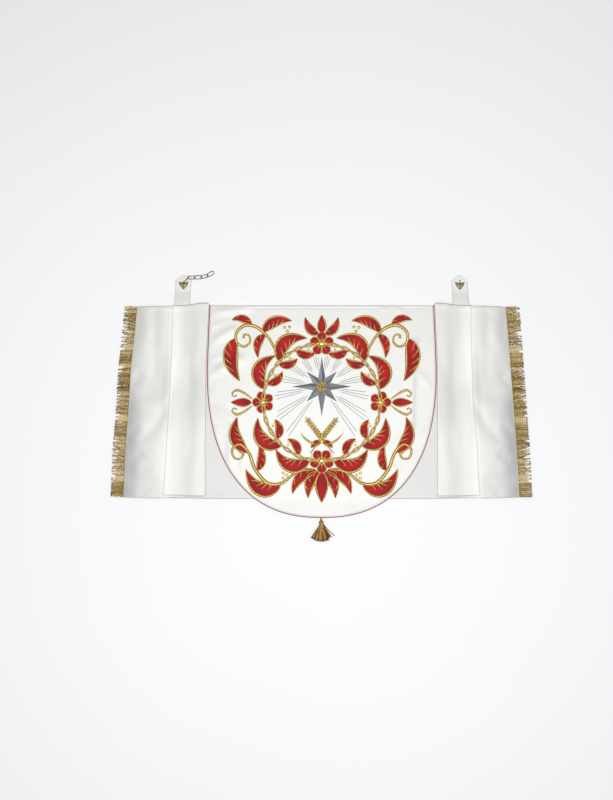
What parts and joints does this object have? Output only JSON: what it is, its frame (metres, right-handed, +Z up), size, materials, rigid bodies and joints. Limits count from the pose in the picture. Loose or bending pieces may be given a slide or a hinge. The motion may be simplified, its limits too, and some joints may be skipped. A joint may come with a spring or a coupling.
{
  "type": "humeral veil",
  "caption": "White satin humeral veil laid out face up, with side pleats, gold fringe, an embroidered hood panel with piping and tassel, and tabs with a chain and hook clasp.",
  "frame": {"origin": "middle of the outline, on the surface the veil lies on", "axes": "+X along the strip, +Y towards the tabs, +Z up off the surface"},
  "size_m": [1.179, 0.7573, 0.0138],
  "materials": {
    "satin": "white satin",
    "hood_satin": "white satin with raised embroidery",
    "red_cord": "twisted rayon cord",
    "gold_fringe": "metallised cut thread",
    "gold_tassel": "metallised thread",
    "clasp_metal": "antique gold plate",
    "chain_metal": "antique brass"
  },
  "bodies": {
    "root": {"veil_cloth": "satin", "hood_panel": "hood_satin", "hood_piping": "red_cord", "fringe_left": "gold_fringe", "fringe_right": "gold_fringe", "tassel": "gold_tassel", "tab_left": "satin", "tab_right": "satin", "clasp_left": "clasp_metal", "clasp_right": "clasp_metal", "chain_bail": "chain_metal", "chain_link_1": "chain_metal", "chain_link_2": "chain_metal", "chain_link_3": "chain_metal", "chain_link_4": "chain_metal"}
  },
  "joints": []
}
